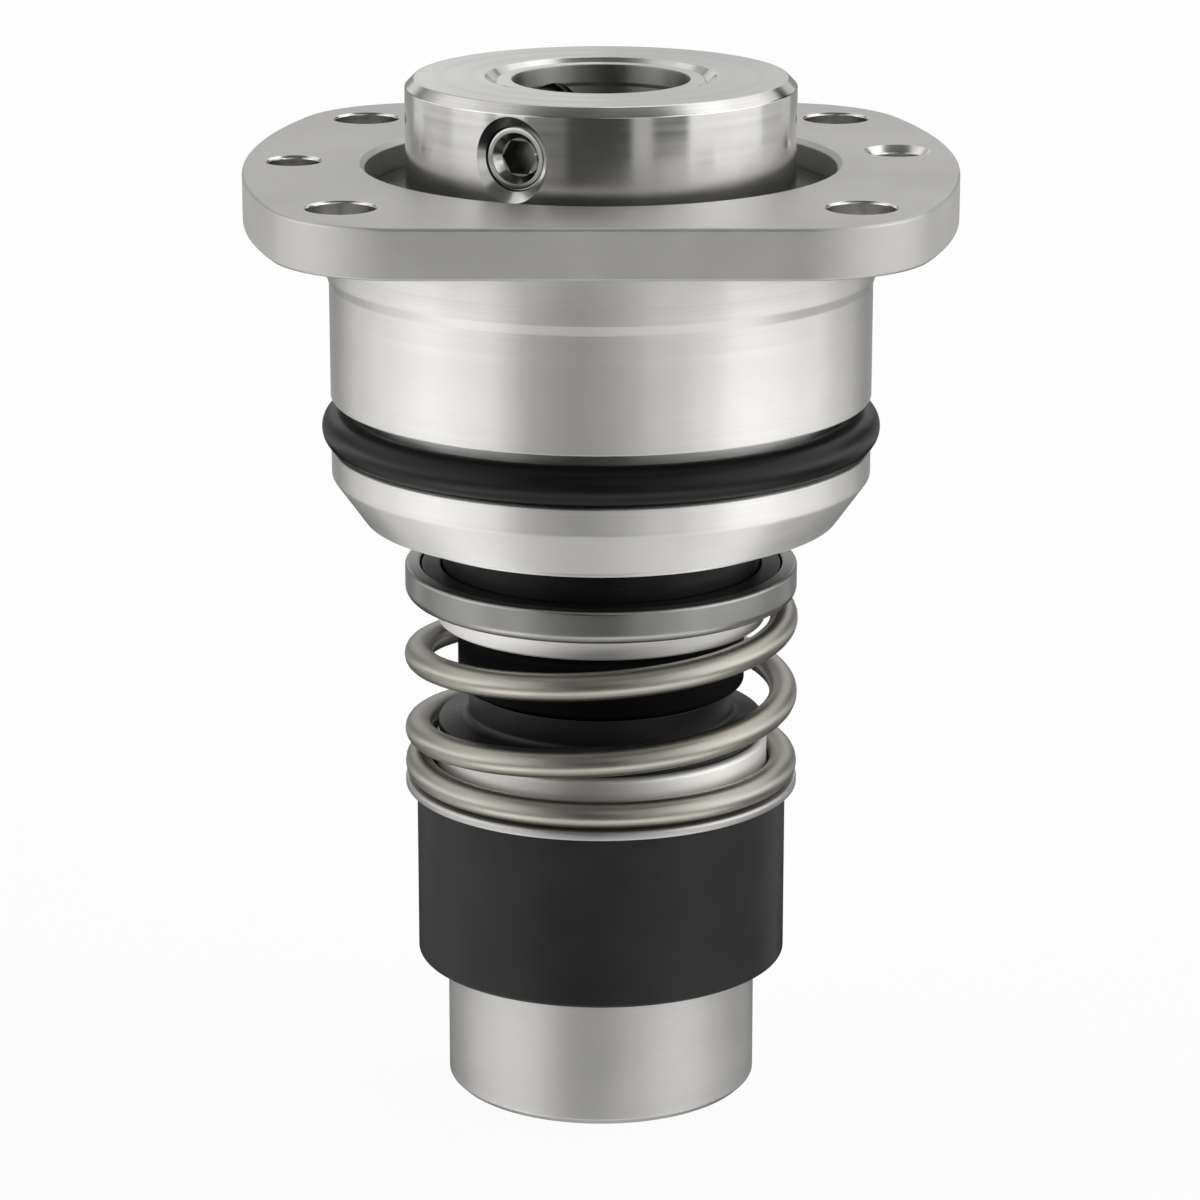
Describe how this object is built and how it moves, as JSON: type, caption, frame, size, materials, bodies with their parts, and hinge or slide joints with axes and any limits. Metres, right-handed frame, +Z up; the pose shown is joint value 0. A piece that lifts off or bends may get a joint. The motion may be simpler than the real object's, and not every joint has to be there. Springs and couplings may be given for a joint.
{
  "type": "cartridge mechanical seal",
  "caption": "Rubber bellows mechanical seal with coil spring on a shaft sleeve, with bolted gland plate and set-screw drive collar.",
  "frame": {"origin": "centre of the sleeve's lower face, on the shaft's axis", "axes": "+Z up the shaft towards the drive collar; -Y is the front, with one set screw left of it; +X is the side of the threaded hole"},
  "size_m": [0.089, 0.0866, 0.1318],
  "materials": {
    "turned_steel": "turned and bead-blasted stainless steel",
    "polished_steel": "fine turned, nearly polished",
    "pressed_steel": "satin",
    "spring_steel": "satin wire",
    "screw_steel": "satin",
    "o_ring_rubber": "satin moulded",
    "bellows_rubber": "matt moulded",
    "carbon": "lapped carbon graphite",
    "silicon_carbide": "lapped ceramic",
    "black_polymer": "matt"
  },
  "bodies": {
    "rotor": {"shaft_sleeve": "turned_steel", "sleeve_o_ring": "o_ring_rubber", "drive_collar": "polished_steel", "bellows": "bellows_rubber", "lower_retainer": "pressed_steel", "coil_spring": "spring_steel"},
    "seal_head": {"upper_retainer": "pressed_steel", "face_ring": "carbon"},
    "gland": {"gland_plate": "turned_steel", "gland_o_ring": "o_ring_rubber", "seat_ring": "silicon_carbide", "seat_o_ring": "o_ring_rubber", "seat_pin": "screw_steel", "guide_ring": "black_polymer"},
    "screw_1": {"set_screw_1": "screw_steel"},
    "screw_2": {"set_screw_2": "screw_steel"},
    "screw_3": {"set_screw_3": "screw_steel"}
  },
  "joints": [
    {"name": "gland_turn", "type": "hinge", "parent": "rotor", "child": "gland", "pos_m": [0, 0, 0.095], "axis": [0, 0, 1], "continuous": true},
    {"name": "seal_slide", "type": "slide", "parent": "rotor", "child": "seal_head", "axis": [0, 0, 1], "range_m": [-0.003, 0], "stiffness_N_per_m": 4000, "springref_m": 0.008, "deforming": ["coil_spring", "bellows"]},
    {"name": "screw_1_slide", "type": "slide", "parent": "rotor", "child": "screw_1", "axis": [-0.4462, -0.8949, 0], "range_m": [-0.0018, 0.005]},
    {"name": "screw_2_slide", "type": "slide", "parent": "rotor", "child": "screw_2", "axis": [0.9981, 0.061, 0], "range_m": [-0.0018, 0.005]},
    {"name": "screw_3_slide", "type": "slide", "parent": "rotor", "child": "screw_3", "axis": [-0.5519, 0.8339, 0], "range_m": [-0.0018, 0.005]}
  ]
}
